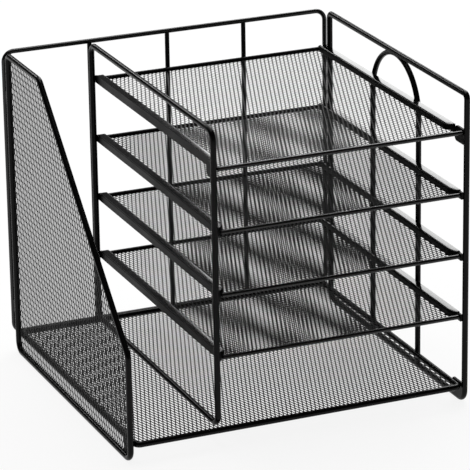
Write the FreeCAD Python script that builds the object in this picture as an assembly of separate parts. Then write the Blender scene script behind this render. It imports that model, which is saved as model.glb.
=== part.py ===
import FreeCAD, Part
import math
import os

# Desk organizer of black coated steel wire and expanded-metal mesh.
# A file slot with a sloped mesh panel is on the left. On the right a fixed top
# tray stands over three trays that pull out to the front along flat rails.
# Millimetres. The origin is on the desk under the middle of the whole.
# +X is to the right, +Y to the back and +Z up.

V = FreeCAD.Vector

# Stock that the pieces are made of.
frame_wire = 5.8    # diameter of the side frames, divider and base rim
arch_wire = 5.4     # diameter of the arch
back_wire = 4.6     # diameter of the back frame and its bars
rim_wire = 4.2      # diameter of the rims across the trays
sheet = 1.0         # thickness of mesh, tray walls and ledges
plate = 2.0         # thickness of rails, tabs, brackets and clips

# The whole, between wire centres.
width = 342.0       # left panel to right frame
depth = 305.0       # front posts to back posts
height = 305.0      # bottom bar to top bar
back_gap = 13.0     # back posts to the back frame
file_slot = 89.0    # left panel to divider

# Bends, as radii of the wire's centre line.
tight_bend = 5.0
wide_bend = 10.0

# Left panel: its front post is short and a straight slope joins it to the top.
front_post = 103.0
slope_reach = 216.0

# Base and divider.
base_level = 14.3       # rim centre above the bottom bar's centre
divider_front = 4.5     # divider's front post behind the side frames' posts
divider_drop = 2.0      # divider's top below the side frames' top

# Arch in the right frame.
arch_radius = 51.0
arch_sink = 4.2         # how far the arch is let into the top bar's underside

# Trays.
tray_pitch = height / 5
lowest_floor = tray_pitch + 25.0    # top of the lowest tray's floor above the desk
wall_height = 6.0       # floor to the top of the ledge
ledge_width = 8.5       # post face to the wall's inner face
rim_rise = 1.5          # rim centre above the floor
tray_front = 3.0        # front rim behind the side frames' front posts
tray_overhang = 5.5     # back rim behind the side frames' back posts
flare = 15.0            # radius of the walls' outward turn at the front
top_flare = 9.0
top_flare_tip = 18.0    # where the top tray's wall ends behind the front posts

# Rails, brackets, tabs and clips.
rail_height = 7.0
bracket_depth = 20.0
bracket_height = 15.0
bracket_round = 5.0
edge_round = 0.5        # small rounding of cut plate corners
tab_height = 14.6
tab_round = 2.0
clip_height = 12.0
clip_inset = 38.0       # clips from the top and bottom bars
bar_spacing = width / 2 - file_slot

# Clearances of the pull-out trays.
rail_play = 0.3
post_play = 0.3

# Mesh lattice. The real gaps are a few millimetres wide; these are drawn larger.
gap_pitch = 16.0        # least spacing along a row, spread to fill each sheet
gap_row = 21.0          # least spacing of the rows
strand = 3.5            # width of metal between the gaps
border = 6.0            # least plain metal between the gaps and the outline

# Places that follow from the sizes above.
total_depth = depth + back_gap + frame_wire / 2 + back_wire / 2
front = frame_wire / 2 - total_depth / 2
back_post = front + depth
back = back_post + back_gap
left = -width / 2
right = width / 2
divider = left + file_slot
bottom = frame_wire / 2
top = bottom + height
base = bottom + base_level
base_top = base + sheet / 2
base_left = left + frame_wire
base_right = right - frame_wire
base_back = back - back_wire / 2 - frame_wire / 2
divider_start = front + divider_front
divider_end = base_back
divider_bottom = base_top + frame_wire / 2
divider_top = top - divider_drop
bay_left = divider + frame_wire / 2
bay_right = right - frame_wire / 2
bay_middle = (bay_left + bay_right) / 2
bay_half = (bay_right - bay_left) / 2
rim_front = front + tray_front
rim_back = back_post + tray_overhang
side_back = rim_back - rim_wire / 2
flare_tip = tray_front + rim_wire / 2


def bent(points, bends, closed):
    """Path through the points, each corner rounded to its bend radius."""
    count = len(points)
    enters = []
    leaves = []
    edges = []
    for i in range(count):
        corner = points[i]
        if not closed and i in (0, count - 1):
            enters.append(corner)
            leaves.append(corner)
            continue
        before = (points[i - 1] - corner).normalize()
        after = (points[(i + 1) % count] - corner).normalize()
        half = before.getAngle(after) / 2
        reach = bends[i] / math.tan(half)
        enters.append(corner + before * reach)
        leaves.append(corner + after * reach)
    for i in range(count):
        corner = points[i]
        if enters[i].distanceToPoint(leaves[i]) > 0.001:
            inward = (enters[i] + leaves[i]) * 0.5 - corner
            half_chord = enters[i].distanceToPoint(leaves[i]) / 2
            reach = enters[i].distanceToPoint(corner)
            centre = reach * reach / inward.Length
            middle = corner + inward.normalize() * (centre - centre * half_chord / reach)
            edges.append(Part.Arc(enters[i], middle, leaves[i]).toShape())
        if i == count - 1 and not closed:
            break
        onward = enters[(i + 1) % count]
        if leaves[i].distanceToPoint(onward) > 0.001:
            edges.append(Part.LineSegment(leaves[i], onward).toShape())
    return Part.Wire(edges)


def rod(path, diameter):
    """Round wire along a path."""
    first = path.Edges[0]
    start = first.valueAt(first.FirstParameter)
    along = first.tangentAt(first.FirstParameter)
    circle = Part.Wire(Part.makeCircle(diameter / 2, start, along))
    return path.makePipeShell([circle], True, True)


def side_loop(x, corners, bends, diameter):
    """Closed wire loop standing in a plane of constant X, from (Y, Z) corners."""
    points = [V(x, y, z) for y, z in corners]
    return rod(bent(points, bends, True), diameter)


def upright(x, y, low, high, diameter):
    """Straight vertical wire."""
    return Part.makeCylinder(diameter / 2, high - low, V(x, y, low))


def crossbar(x_from, x_to, y, z, diameter):
    """Straight wire along X with rounded ends."""
    bar = Part.makeCylinder(diameter / 2, x_to - x_from, V(x_from, y, z), V(1, 0, 0))
    ends = [edge for edge in bar.Edges if isinstance(edge.Curve, Part.Circle)]
    return bar.makeFillet(diameter / 4, ends)


def inside(point, corners, margin):
    """True where a point lies the margin or more inside a convex outline."""
    u, v = point
    for i in range(len(corners)):
        u0, v0 = corners[i - 1]
        u1, v1 = corners[i]
        run = math.hypot(u1 - u0, v1 - v0)
        if ((u1 - u0) * (v - v0) - (v1 - v0) * (u - u0)) / run < margin:
            return False
    return True


def net(outline, corners, place, lift):
    """Sheet on an outline, with diamond gaps inside convex corners given anticlockwise."""
    low_u = min(u for u, v in corners) + border
    low_v = min(v for u, v in corners) + border
    wide = max(u for u, v in corners) - border - low_u
    deep = max(v for u, v in corners) - border - low_v
    columns = int(wide / gap_pitch)
    rows = int(deep / gap_row) - 1
    pitch = wide / columns
    row_pitch = deep / (rows + 1)
    slant = math.hypot(pitch / 2, row_pitch)
    half_u = pitch / 2 - strand * slant / (2 * row_pitch)
    half_v = row_pitch - strand * slant / pitch
    wires = [outline]
    for row in range(rows):
        v = low_v + (row + 1) * row_pitch
        shift = row % 2
        for column in range(columns - shift):
            u = low_u + (column + 0.5 + shift / 2) * pitch
            gap = [(u - half_u, v), (u, v - half_v), (u + half_u, v), (u, v + half_v)]
            if all(inside(point, corners, border) for point in gap):
                wires.append(Part.makePolygon([place(*point) for point in gap + gap[:1]]))
    return Part.makeFace(wires, "Part::FaceMakerBullseye").extrude(lift)


def side_plate(x, y_from, y_to, low, high, rounds):
    """Flat plate in a plane of constant X, its four corners rounded as listed."""
    corners = [V(x, y_from, low), V(x, y_to, low), V(x, y_to, high), V(x, y_from, high)]
    return Part.Face(bent(corners, rounds, True)).extrude(V(plate, 0, 0))


def save(name, shape):
    """Write one node."""
    shape.exportStep("parts/" + name + ".step")


os.makedirs("parts", exist_ok=True)

# Left panel: the wire loop and the mesh in it.
panel_corners = [
    (front, bottom),
    (back_post, bottom),
    (back_post, top),
    (front + slope_reach, top),
    (front, bottom + front_post),
]
panel_bends = [wide_bend, wide_bend, tight_bend, wide_bend, wide_bend]
left_frame = side_loop(left, panel_corners, panel_bends, frame_wire)
panel_path = bent([V(left - sheet / 2, y, z) for y, z in panel_corners], panel_bends, True)


def on_panel(y, z):
    return V(left - sheet / 2, y, z)


left_mesh = net(panel_path, panel_corners, on_panel, V(sheet, 0, 0)).cut(left_frame)
save("left_frame", left_frame)
save("left_mesh", left_mesh)

# Right frame, with the arch let into its top bar and standing on its bottom bar.
right_corners = [(front, bottom), (back_post, bottom), (back_post, top), (front, top)]
right_frame = side_loop(right, right_corners, [wide_bend, wide_bend, tight_bend, tight_bend], frame_wire)
arch_middle = (front + back_post) / 2
arch_crown = top - frame_wire / 2 - arch_wire / 2 + arch_sink
front_leg = arch_middle - arch_radius
back_leg = arch_middle + arch_radius
arch_points = [
    V(right, front_leg, bottom),
    V(right, front_leg, arch_crown),
    V(right, back_leg, arch_crown),
    V(right, back_leg, bottom),
]
arch_path = bent(arch_points, [arch_radius] * 4, False)
right_arch = rod(arch_path, arch_wire).cut(right_frame)
save("right_frame", right_frame)
save("right_arch", right_arch.Solids[0])

# Divider, standing on the base floor.
divider_corners = [
    (divider_start, divider_bottom),
    (divider_end, divider_bottom),
    (divider_end, divider_top),
    (divider_start, divider_top),
]
divider_frame = side_loop(divider, divider_corners, [wide_bend] * 4, frame_wire)
save("divider_frame", divider_frame)

# Base: the rim and the mesh floor let into it.
base_points = [
    V(base_left, front, base),
    V(base_right, front, base),
    V(base_right, base_back, base),
    V(base_left, base_back, base),
]
base_rim = rod(bent(base_points, [tight_bend] * 4, True), frame_wire)
floor_points = [point - V(0, 0, sheet / 2) for point in base_points]


def on_base(x, y):
    return V(x, y, base - sheet / 2)


base_corners = [(point.x, point.y) for point in base_points]
base_outline = bent(floor_points, [tight_bend] * 4, True)
base_mesh = net(base_outline, base_corners, on_base, V(0, 0, sheet)).cut(base_rim)
save("base_rim", base_rim)
save("base_mesh", base_mesh)

# Tabs that hold the base to the side frames at the front.
tab_rounds = [wide_bend, edge_round, tab_round, edge_round]
tab_low = bottom
tab_high = bottom + frame_wire / 2 + tab_height
tab_back = front + bracket_depth
left_tab = side_plate(left + frame_wire / 2 - plate, front, tab_back, tab_low, tab_high, tab_rounds)
right_tab = side_plate(bay_right, front, tab_back, tab_low, tab_high, tab_rounds)
save("left_base_tab", left_tab.cut(left_frame))
save("right_base_tab", right_tab.cut(right_frame))

# Back: the loop, its three bars and the clips to the back posts.
back_points = [V(left, back, base), V(right, back, base), V(right, back, top), V(left, back, top)]
back_frame = rod(bent(back_points, [wide_bend] * 4, True), back_wire)
save("back_frame", back_frame)
bars = {"left": divider, "middle": divider + bar_spacing, "right": divider + 2 * bar_spacing}
for name, x in bars.items():
    save("back_bar_" + name, upright(x, back, base, top, back_wire).cut(back_frame))
clips = []
for x, post in ((left, left_frame), (right, right_frame)):
    for level in (bottom + clip_inset, top - clip_inset - clip_height):
        clip = side_plate(x - plate / 2, back_post, back, level, level + clip_height, [edge_round] * 4)
        clips.append(clip.cut(post).cut(back_frame))
save("back_clips", Part.makeCompound(clips))


def tray(name, floor, radius, tip, wall_end, ledge_edge, rim_end, rail_top, rail_fronts):
    """One tray. Distances into the bay are measured from the faces of the posts."""
    wall_centre = ledge_width - sheet / 2
    turn_centre = wall_centre - radius
    sweep = math.acos((wall_end - turn_centre) / (radius - sheet / 2))
    turn_start = front + tip + (radius + sheet / 2) * math.sin(sweep)
    ledge = floor + wall_height
    front_rim = crossbar(
        bay_left + rim_end, bay_right - rim_end, rim_front, floor + rim_rise, rim_wire)
    back_rim = crossbar(
        bay_left + wall_end, bay_right - wall_end, rim_back, floor + rim_rise, rim_wire)

    def turn(side, offset, part, z):
        """Point on the wall's outward turn, at an offset from its centre line."""
        reach = radius + offset
        u = turn_centre + reach * math.cos(sweep * part)
        return V(bay_middle + side * (bay_half - u), turn_start - reach * math.sin(sweep * part), z)

    def turned(side, offset, z):
        return Part.Arc(*[turn(side, offset, part, z) for part in (0, 0.5, 1)]).toShape()

    def across(side, u, y, z):
        return V(bay_middle + side * (bay_half - u), y, z)

    floor_edges = []
    for side, label in ((-1, "left"), (1, "right")):
        inner = turned(side, sheet / 2, floor)
        outer = turned(side, -sheet / 2, floor)
        inner_back = across(side, ledge_width, side_back, floor)
        outer_back = across(side, ledge_width - sheet, side_back, floor)
        wall_edges = [
            Part.LineSegment(inner_back, turn(side, sheet / 2, 0, floor)).toShape(),
            inner,
            Part.LineSegment(turn(side, sheet / 2, 1, floor), turn(side, -sheet / 2, 1, floor)).toShape(),
            outer,
            Part.LineSegment(turn(side, -sheet / 2, 0, floor), outer_back).toShape(),
            Part.LineSegment(outer_back, inner_back).toShape(),
        ]
        wall = Part.Face(Part.Wire(Part.__sortEdges__(wall_edges))).extrude(V(0, 0, wall_height))
        shelf = ledge - sheet
        tip_inner = turn(side, sheet / 2, 1, shelf)
        edge_front = across(side, ledge_edge, tip_inner.y, shelf)
        edge_back = across(side, ledge_edge, side_back, shelf)
        start_back = across(side, ledge_width, side_back, shelf)
        ledge_edges = [
            Part.LineSegment(start_back, turn(side, sheet / 2, 0, shelf)).toShape(),
            turned(side, sheet / 2, shelf),
            Part.LineSegment(tip_inner, edge_front).toShape(),
            Part.LineSegment(edge_front, edge_back).toShape(),
            Part.LineSegment(edge_back, start_back).toShape(),
        ]
        top_strip = Part.Face(Part.Wire(Part.__sortEdges__(ledge_edges))).extrude(V(0, 0, sheet))
        save(name + "_" + label + "_side", wall.fuse(top_strip).removeSplitter())

        low = floor - sheet
        corner = across(side, wall_end, rim_front, low)
        tip_outer = turn(side, -sheet / 2, 1, low)
        floor_edges.append(Part.LineSegment(across(side, ledge_width - sheet, rim_back, low),
                                            turn(side, -sheet / 2, 0, low)).toShape())
        floor_edges.append(turned(side, -sheet / 2, low))
        floor_edges.append(Part.LineSegment(tip_outer, corner).toShape())

        rail_face = bay_left if side < 0 else bay_right - plate
        rail_front = rail_fronts[label]
        rail_back = divider_end if side < 0 else back_post
        rail = side_plate(rail_face, rail_front, rail_back, rail_top - rail_height, rail_top, [edge_round] * 4)
        save(name + "_" + label + "_rail", rail)

    low = floor - sheet
    for u, y in ((wall_end, rim_front), (ledge_width - sheet, rim_back)):
        floor_edges.append(Part.LineSegment(across(-1, u, y, low), across(1, u, y, low)).toShape())
    outline = Part.Wire(Part.__sortEdges__(floor_edges))
    gaps_left = bay_left + ledge_width
    gaps_right = bay_right - ledge_width
    corners = [(gaps_left, rim_front), (gaps_right, rim_front), (gaps_right, rim_back), (gaps_left, rim_back)]

    def on_floor(x, y):
        return V(x, y, low)

    mesh = net(outline, corners, on_floor, V(0, 0, sheet)).cut(front_rim).cut(back_rim)
    save(name + "_mesh", mesh)
    save(name + "_front_rim", front_rim)
    save(name + "_back_rim", back_rim)


# The three trays that pull out. Their rails start at the front posts.
post_fronts = {"left": divider_start, "right": front}
beside_rail = plate + post_play
for step, name in enumerate(("lower_tray", "middle_tray", "upper_tray")):
    level = lowest_floor + step * tray_pitch
    under = level + wall_height - sheet - rail_play
    tray(name, level, flare, flare_tip, beside_rail, post_play, beside_rail, under, post_fronts)

# The fixed tray over them. Its rails start at the brackets.
top_floor = lowest_floor + 3 * tray_pitch
top_under = top_floor + wall_height - sheet
bracket_fronts = {"left": front + top_flare_tip, "right": front + top_flare_tip}
tray("top_tray", top_floor, top_flare, top_flare_tip, plate, 0.0, 0.0, top_under, bracket_fronts)

# Brackets behind the front posts that carry the top tray.
bracket_high = top_under
bracket_low = bracket_high - bracket_height
bracket_rounds = [edge_round, bracket_round, bracket_round, edge_round]
brackets = (
    ("top_left_bracket", bay_left - plate, divider_start, divider_frame),
    ("top_right_bracket", bay_right, front, right_frame),
)
for name, x, post_y, post in brackets:
    bracket = side_plate(x, post_y, post_y + bracket_depth, bracket_low, bracket_high, bracket_rounds)
    save(name, bracket.cut(post))
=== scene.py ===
import math

import bmesh
import bpy
from mathutils import Matrix, Vector


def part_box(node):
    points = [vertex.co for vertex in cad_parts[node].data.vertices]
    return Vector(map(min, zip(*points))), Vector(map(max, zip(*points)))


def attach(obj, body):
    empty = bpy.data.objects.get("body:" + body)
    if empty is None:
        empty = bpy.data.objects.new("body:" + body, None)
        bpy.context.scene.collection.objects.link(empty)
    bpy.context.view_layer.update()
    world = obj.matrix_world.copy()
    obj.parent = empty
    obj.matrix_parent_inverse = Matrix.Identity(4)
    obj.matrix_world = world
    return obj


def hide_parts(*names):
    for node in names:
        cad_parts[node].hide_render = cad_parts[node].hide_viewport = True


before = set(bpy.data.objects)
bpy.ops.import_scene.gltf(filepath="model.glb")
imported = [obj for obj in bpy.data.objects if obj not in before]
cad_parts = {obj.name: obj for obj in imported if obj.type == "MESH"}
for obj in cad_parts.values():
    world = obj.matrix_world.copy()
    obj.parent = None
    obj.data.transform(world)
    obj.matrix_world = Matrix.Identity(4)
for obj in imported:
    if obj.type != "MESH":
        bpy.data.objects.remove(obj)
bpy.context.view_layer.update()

# Desk organizer of black powder-coated steel wire and expanded-metal mesh.
# The wires, rails, tabs, brackets and clips are the CAD pieces with their finish.
# The six mesh sheets and the folded sides of the trays are made here in full.
# The frame is in metres, sizes below are in millimetres unless they say otherwise.

MM = 0.001

# Camera, as the photograph was taken: place in metres, axes and focal length.
CAMERA_PLACE = (-1.16119, -2.76839, 1.22166)
CAMERA_RIGHT = (0.91972, -0.39232, -0.01448)
CAMERA_UP = (0.14500, 0.30520, 0.94118)
CAMERA_FORWARD = (0.36482, 0.86772, -0.33759)
CAMERA_LENS = 253.55
CAMERA_SENSOR = 36.0
CAMERA_REACH = 100       # metres

# Frames of wire.
FRAME_WIRE = 5.8
PANEL_BEND = 10.0
BASE_BEND = 5.0
SLOPE_REACH = 216.0     # the left panel's slope, front to back
FRONT_POST = 103.0      # the left panel's short front post

# Expanded-metal mesh. Each strand is a flat ribbon that leans, as the press leaves it.
PANEL_SHORT_WAY = 4.29  # across a diamond
FLOOR_SHORT_WAY = 4.15
LONG_WAY = 11.22        # along a diamond
BOND = 2.5              # length over which neighbouring strands are one
STRAND_WIDE = 0.88
STRAND_THICK = 0.35
BOND_OVERLAP = 0.05     # share of a strand's width by which bonded strands overlap
LEAST_STEP = 0.05       # a bond nearer than this to a strand's end is left out
PANEL_LEAN = 0.0
FLOOR_LEAN = math.radians(13)

# Folded tray sides.
SHEET = 1.0
FOLD = 2.2              # outside radius where a wall turns into its ledge
FOLD_STEPS = 6
TURN_STEPS = 12
LEDGE_WIDTH = 8.5       # post face to the wall's inner face
LEVEL = 0.9             # a face whose normal rises more than this is level
SHARP_ANGLE = math.radians(25)
TRAYS = {
    # Name: body, radius of the outward turn at the front, where the wall and the ledge end,
    # both from the post's face, and lean of the mesh.
    "lower_tray": ("lower_tray", 15.0, 2.3, 0.3, FLOOR_LEAN),
    "middle_tray": ("middle_tray", 15.0, 2.3, 0.3, FLOOR_LEAN),
    "upper_tray": ("upper_tray", 15.0, 2.3, 0.3, FLOOR_LEAN),
    "top_tray": ("stand", 9.0, 2.0, 0.0, -FLOOR_LEAN),
}

# Finishes.
DEEP_BLACK = "#040404"
SOFT_BLACK = "#080808"
CLOUD = 40.0            # width of the slow changes in a coat's tone
TONE_SPAN = (0.35, 0.65)    # part of the cloud noise over which the colour changes
ROUGH_SPAN = (0.3, 0.7)     # part of it over which the roughness changes
PAPER = "#686868"
PAPER_WHITE = "#F2F2F2"
ROOM = "#505050"


def linear(colour):
    """Linear colour of an sRGB hex value."""
    parts = [int(colour[i:i + 2], 16) / 255 for i in (1, 3, 5)]
    return [c / 12.92 if c <= 0.04045 else ((c + 0.055) / 1.055) ** 2.4 for c in parts] + [1.0]


def add(tree, kind, inputs, **settings):
    """One shader node with its settings, values and links."""
    node = tree.nodes.new("ShaderNode" + kind)
    for name, value in settings.items():
        setattr(node, name, value)
    for name, value in inputs.items():
        if isinstance(value, bpy.types.NodeSocket):
            tree.links.new(value, node.inputs[name])
        else:
            node.inputs[name].default_value = value
    return node


def new_material(name):
    material = bpy.data.materials.new(name)
    material.use_nodes = True
    material.node_tree.nodes.clear()
    return material, material.node_tree


def powder_coat(name, ior, smooth, rough, peel, height):
    """Black powder baked on steel. Peel is the width of its ripple in millimetres, height its depth."""
    material, tree = new_material(name)
    place = add(tree, "TexCoord", {}).outputs["Object"]
    ripple = add(tree, "TexNoise", {"Vector": place, "Scale": 1 / (peel * MM), "Detail": 1.0})
    cloud = add(tree, "TexNoise", {"Vector": place, "Scale": 1 / (CLOUD * MM), "Detail": 3.0})
    roughness = add(tree, "MapRange", {
        "Value": cloud.outputs["Fac"],
        "From Min": ROUGH_SPAN[0],
        "From Max": ROUGH_SPAN[1],
        "To Min": smooth,
        "To Max": rough,
    })
    colour = add(tree, "ValToRGB", {"Fac": cloud.outputs["Fac"]})
    for stop, position, black in zip(colour.color_ramp.elements, TONE_SPAN, (DEEP_BLACK, SOFT_BLACK)):
        stop.position = position
        stop.color = linear(black)
    bump = add(tree, "Bump", {"Height": ripple.outputs["Fac"], "Distance": height * MM, "Strength": 1.0})
    coat = add(tree, "BsdfPrincipled", {
        "Base Color": colour.outputs["Color"],
        "Roughness": roughness.outputs["Result"],
        "IOR": ior,
        "Normal": bump.outputs["Normal"],
    })
    add(tree, "OutputMaterial", {"Surface": coat.outputs["BSDF"]})
    return material


# Drawn steel wire under semi-gloss black powder coat: deep black with one soft grey line.
WIRE_COAT = powder_coat("powder_coat_on_wire", 1.22, 0.20, 0.28, 5.0, 0.003)
# The same wire under a thicker coat, on the front rims and the back loop: a brighter line on top.
GLOSS_COAT = powder_coat("gloss_powder_coat_on_wire", 1.45, 0.16, 0.22, 5.0, 0.002)
# Flat ledges of cold-rolled sheet: the coat flows level there, so they mirror what is behind.
LEDGE_COAT = powder_coat("powder_coat_on_ledges", 1.5, 0.10, 0.16, 3.0, 0.003)
# Upright sheet and cut plate under a thin coat of it: a dull, deep black.
PLATE_COAT = powder_coat("powder_coat_on_plate", 1.22, 0.42, 0.52, 2.0, 0.006)
# Expanded steel under the same coat: the thin strands take it unevenly and look duller.
MESH_COAT = powder_coat("powder_coat_on_mesh", 1.18, 0.42, 0.52, 0.9, 0.006)


def make_piece(name, vertices, faces, coats, body, nodes):
    """A mesh piece that stands for CAD nodes and rides on a body. A second coat goes on its level tops."""
    mesh = bpy.data.meshes.new(name)
    mesh.from_pydata([Vector(v) * MM for v in vertices], [], faces)
    shape = bmesh.new()
    shape.from_mesh(mesh)
    bmesh.ops.recalc_face_normals(shape, faces=shape.faces)
    shape.to_mesh(mesh)
    shape.free()
    mesh.shade_smooth()
    mesh.set_sharp_from_angle(angle=SHARP_ANGLE)
    for coat in coats:
        mesh.materials.append(coat)
    if len(coats) > 1:
        for face in mesh.polygons:
            face.material_index = int(face.normal.z > LEVEL)
    piece = bpy.data.objects.new(name, mesh)
    bpy.context.scene.collection.objects.link(piece)
    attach(piece, body)
    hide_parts(*nodes)


def in_mm(node):
    """Lowest and highest corners of a CAD node."""
    low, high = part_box(node)
    return Vector(low) / MM, Vector(high) / MM


def swing_at(along):
    """Sideways place of a zigzag strand, from -1 to 1 times its swing."""
    step = along / (LONG_WAY / 2)
    bond = math.floor(step + 0.5)
    off = abs(step - bond) * LONG_WAY / 2
    sign = -1 if bond % 2 else 1
    if off <= BOND / 2:
        return sign
    return sign * (1 - 2 * (off - BOND / 2) / (LONG_WAY / 2 - BOND))


def strands(low, high, beyond, short_way, lean, run_at, place):
    """Expanded metal as leaning zigzag ribbons side by side, joined at their bonds.

    The ribbons lie from low to high, and on past both as far as beyond allows.
    """
    vertices = []
    faces = []
    count = round(2 * (high - low) / short_way)
    pitch = (high - low) / count
    extra = math.floor(beyond / pitch)
    wide = Vector((math.cos(lean), math.sin(lean))) * STRAND_WIDE / 2
    thick = Vector((-math.sin(lean), math.cos(lean))) * STRAND_THICK / 2
    section = (-wide - thick, wide - thick, wide + thick, thick - wide)
    swing = pitch / 2 - (1 - BOND_OVERLAP) * wide.x
    for i in range(-extra, count + extra + 1):
        middle = low + i * pitch
        start, end = run_at(middle)
        if end - start < BOND:
            continue
        stops = [start]
        for bond in range(math.floor(2 * start / LONG_WAY), math.ceil(2 * end / LONG_WAY) + 1):
            for edge in (-BOND / 2, BOND / 2):
                along = bond * LONG_WAY / 2 + edge
                if start + LEAST_STEP < along < end - LEAST_STEP:
                    stops.append(along)
        stops.append(end)
        side = 1 if i % 2 else -1
        for k, along in enumerate(stops):
            shift = side * swing_at(along)
            centre = Vector((middle + shift * swing, -shift * wide.y))
            ring = len(vertices)
            for corner in section:
                spot = centre + corner
                vertices.append(place(spot.x, along, spot.y))
            if k:
                for c in range(4):
                    d = (c + 1) % 4
                    faces.append((ring - 4 + c, ring - 4 + d, ring + d, ring + c))
            else:
                faces.append((ring, ring + 1, ring + 2, ring + 3))
        faces.append((ring, ring + 3, ring + 2, ring + 1))
    return vertices, faces


def corner_rise(distance, bend):
    """How far a rounded corner lies from the straight edge, at a distance from the other edge."""
    if distance >= bend:
        return 0.0
    return bend - math.sqrt(max(bend * bend - (bend - distance) ** 2, 0.0))


def left_panel_mesh():
    """Mesh in the left panel's loop of wire, its diamonds upright."""
    low, high = in_mm("left_frame")
    half = FRAME_WIRE / 2
    front, back = low.y + half, high.y - half
    bottom, top = low.z + half, high.z - half
    x = (low.x + high.x) / 2

    def run(y):
        foot = bottom + corner_rise(min(y - front, back - y), PANEL_BEND)
        if y - front >= SLOPE_REACH:
            return foot, top
        return foot, bottom + FRONT_POST + (y - front) / SLOPE_REACH * (top - bottom - FRONT_POST)

    def place(y, z, out):
        return (x + out, y, z)

    vertices, faces = strands(front, back, 0, PANEL_SHORT_WAY, PANEL_LEAN, run, place)
    make_piece("left_panel_mesh", vertices, faces, [MESH_COAT], "stand", ["left_mesh"])


def base_floor_mesh():
    """Mesh floor in the base's rim."""
    low, high = in_mm("base_rim")
    half = FRAME_WIRE / 2
    left, right = low.x + half, high.x - half
    z = (low.z + high.z) / 2

    def run(x):
        rise = corner_rise(min(x - left, right - x), BASE_BEND)
        return low.y + half + rise, high.y - half - rise

    def place(x, y, up):
        return (x, y, z + up)

    vertices, faces = strands(left, right, 0, FLOOR_SHORT_WAY, FLOOR_LEAN, run, place)
    make_piece("base_floor_mesh", vertices, faces, [MESH_COAT], "stand", ["base_mesh"])


def side_turn(node, radius, wall_end):
    """Outward turn of a tray's side: its centre from the post, its sweep and where it starts."""
    low = in_mm(node)[0]
    centre = LEDGE_WIDTH - SHEET / 2 - radius
    sweep = math.acos((wall_end - centre) / (radius - SHEET / 2))
    return centre, sweep, low.y + (radius + SHEET / 2) * math.sin(sweep)


def tray_floor_mesh(name, body, radius, wall_end, lean):
    """Mesh floor of a tray between its two rims and its two sides, with the corners under their turns."""
    low, high = in_mm(name + "_mesh")
    front_rim = in_mm(name + "_front_rim")
    back_rim = in_mm(name + "_back_rim")
    front = (front_rim[0].y + front_rim[1].y) / 2
    back = (back_rim[0].y + back_rim[1].y) / 2
    left_wall = in_mm(name + "_left_side")[1].x - SHEET / 2
    right_wall = in_mm(name + "_right_side")[0].x + SHEET / 2
    wall = LEDGE_WIDTH - SHEET / 2
    centre, _, turn_start = side_turn(name + "_left_side", radius, wall_end)
    z = (low.z + high.z) / 2

    def run(x):
        reach = wall + min(x - left_wall, right_wall - x) - centre
        if reach > radius - SHEET / 2:
            return front, back
        return front, turn_start - math.sqrt(radius * radius - reach * reach)

    def place(x, y, up):
        return (x, y, z + up)

    beyond = wall - wall_end - FLOOR_SHORT_WAY / 4
    vertices, faces = strands(left_wall, right_wall, beyond, FLOOR_SHORT_WAY, lean, run, place)
    make_piece(name + "_floor_mesh", vertices, faces, [MESH_COAT], body, [name + "_mesh"])


def tray_side(name, label, body, radius, wall_end, ledge_edge):
    """One sheet folded into a tray's wall and ledge, turned out at the front."""
    node = name + "_" + label + "_side"
    low, high = in_mm(node)
    if label == "left":
        post_face, inward = high.x - LEDGE_WIDTH, 1
    else:
        post_face, inward = low.x + LEDGE_WIDTH, -1
    half = SHEET / 2
    turn_centre, sweep, turn_start = side_turn(node, radius, wall_end)

    def on_turn(offset, part):
        reach = radius + offset
        return turn_centre + reach * math.cos(sweep * part), turn_start - reach * math.sin(sweep * part)

    def point(u, y, z):
        return (post_face + inward * u, y, z)

    upper = [(half, low.z)]
    under = [(-half, low.z)]
    for step in range(FOLD_STEPS + 1):
        angle = math.pi / 2 * step / FOLD_STEPS
        across, rise = math.cos(angle), math.sin(angle)
        for line, reach in ((upper, FOLD), (under, FOLD - SHEET)):
            line.append((half - FOLD + reach * across, high.z - FOLD + reach * rise))
    section = upper + under[::-1]

    stations = [None] + [step / TURN_STEPS for step in range(TURN_STEPS + 1)]
    vertices = []
    faces = []
    size = len(section) + 2
    for k, part in enumerate(stations):
        ring = []
        for offset, z in section:
            if part is None:
                ring.append(point(LEDGE_WIDTH - half + offset, high.y, z))
            else:
                ring.append(point(*on_turn(offset, part), z))
        edge_y = ring[len(upper) - 1][1]
        if part == 1:
            edge_y = low.y
        edge = [point(ledge_edge, edge_y, high.z), point(ledge_edge, edge_y, high.z - SHEET)]
        vertices += ring[:len(upper)] + edge + ring[len(upper):]
        start = k * size
        if k:
            for c in range(size):
                d = (c + 1) % size
                faces.append((start - size + c, start - size + d, start + d, start + c))
        if k in (0, len(stations) - 1):
            for c in range(len(upper)):
                faces.append((start + c, start + c + 1, start + size - 2 - c, start + size - 1 - c))

    make_piece(node + "_sheet", vertices, faces, [PLATE_COAT, LEDGE_COAT], body, [node])


left_panel_mesh()
base_floor_mesh()
for name, (body, radius, wall_end, ledge_edge, lean) in TRAYS.items():
    tray_floor_mesh(name, body, radius, wall_end, lean)
    for label in ("left", "right"):
        tray_side(name, label, body, radius, wall_end, ledge_edge)

# Finishes of the CAD pieces.
for name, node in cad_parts.items():
    if name.endswith("_mesh"):
        coat = MESH_COAT
    elif name.endswith(("_side", "_rail", "_tab", "_bracket", "_clips")):
        coat = PLATE_COAT
    elif name.endswith("_front_rim") or name == "back_frame":
        coat = GLOSS_COAT
    else:
        coat = WIRE_COAT
    node.data.materials.clear()
    node.data.materials.append(coat)


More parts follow.
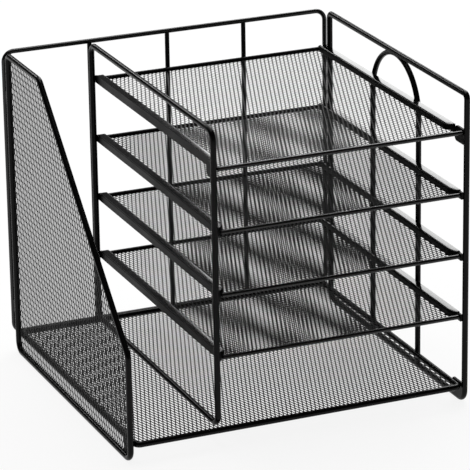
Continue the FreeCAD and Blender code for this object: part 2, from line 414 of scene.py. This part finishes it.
# White floor that keeps a pale shadow.
FLOOR_HALF = 12.0       # metres
floor_mesh = bpy.data.meshes.new("floor")
floor_corners = [(-FLOOR_HALF, -FLOOR_HALF, 0), (FLOOR_HALF, -FLOOR_HALF, 0),
                 (FLOOR_HALF, FLOOR_HALF, 0), (-FLOOR_HALF, FLOOR_HALF, 0)]
floor_mesh.from_pydata(floor_corners, [], [(0, 1, 2, 3)])
floor = bpy.data.objects.new("floor", floor_mesh)
bpy.context.scene.collection.objects.link(floor)
floor_material, tree = new_material("white_paper_floor")
ray = add(tree, "LightPath", {}).outputs
seen = ray["Is Camera Ray"]
for kind in ("Is Glossy Ray", "Is Transmission Ray"):
    seen = add(tree, "Math", {0: seen, 1: ray[kind]}, operation="MAXIMUM").outputs[0]
paper = add(tree, "BsdfDiffuse", {"Color": linear(PAPER)})
white = add(tree, "Emission", {"Color": linear(PAPER_WHITE), "Strength": seen})
both = add(tree, "AddShader", {0: paper.outputs["BSDF"], 1: white.outputs["Emission"]})
add(tree, "OutputMaterial", {"Surface": both.outputs["Shader"]})
floor_mesh.materials.append(floor_material)


def softbox(name, place, aim, wide, tall, radiance):
    """Large soft lamp that the camera doesn't see."""
    lamp = bpy.data.lights.new(name, "AREA")
    lamp.shape = "RECTANGLE"
    lamp.size = wide
    lamp.size_y = tall
    lamp.energy = radiance * math.pi * wide * tall
    holder = bpy.data.objects.new(name, lamp)
    holder.location = place
    holder.rotation_euler = (Vector(aim) - Vector(place)).to_track_quat("-Z", "Y").to_euler()
    holder.visible_camera = False
    bpy.context.scene.collection.objects.link(holder)


softbox("overhead_softbox", (0, 0.5, 1.9), (0, 0.1, 0.1), 1.2, 1.6, 2.8)
softbox("right_softbox", (1.49, 1.66, 2.16), (0, 0, 0.15), 1.4, 1.6, 5.5)
softbox("back_card", (1.46, 2.60, 1.18), (0, 0, 0.15), 0.6, 0.6, 4.0)
softbox("strip_light", (-0.18, 2.59, 1.65), (0, 0, 0.15), 0.8, 0.35, 8.0)

world = bpy.data.worlds.new("room")
bpy.context.scene.world = world
world.use_nodes = True
world.node_tree.nodes["Background"].inputs["Color"].default_value = linear(ROOM)

camera = bpy.data.cameras.new("camera")
camera.lens = CAMERA_LENS
camera.sensor_width = CAMERA_SENSOR
camera.clip_end = CAMERA_REACH
holder = bpy.data.objects.new("camera", camera)
axes = [Vector(CAMERA_RIGHT), Vector(CAMERA_UP), -Vector(CAMERA_FORWARD)]
holder.matrix_world = Matrix.Translation(CAMERA_PLACE) @ Matrix(axes).transposed().to_4x4()
bpy.context.scene.collection.objects.link(holder)
bpy.context.scene.camera = holder
bpy.context.scene.view_settings.view_transform = "Standard"
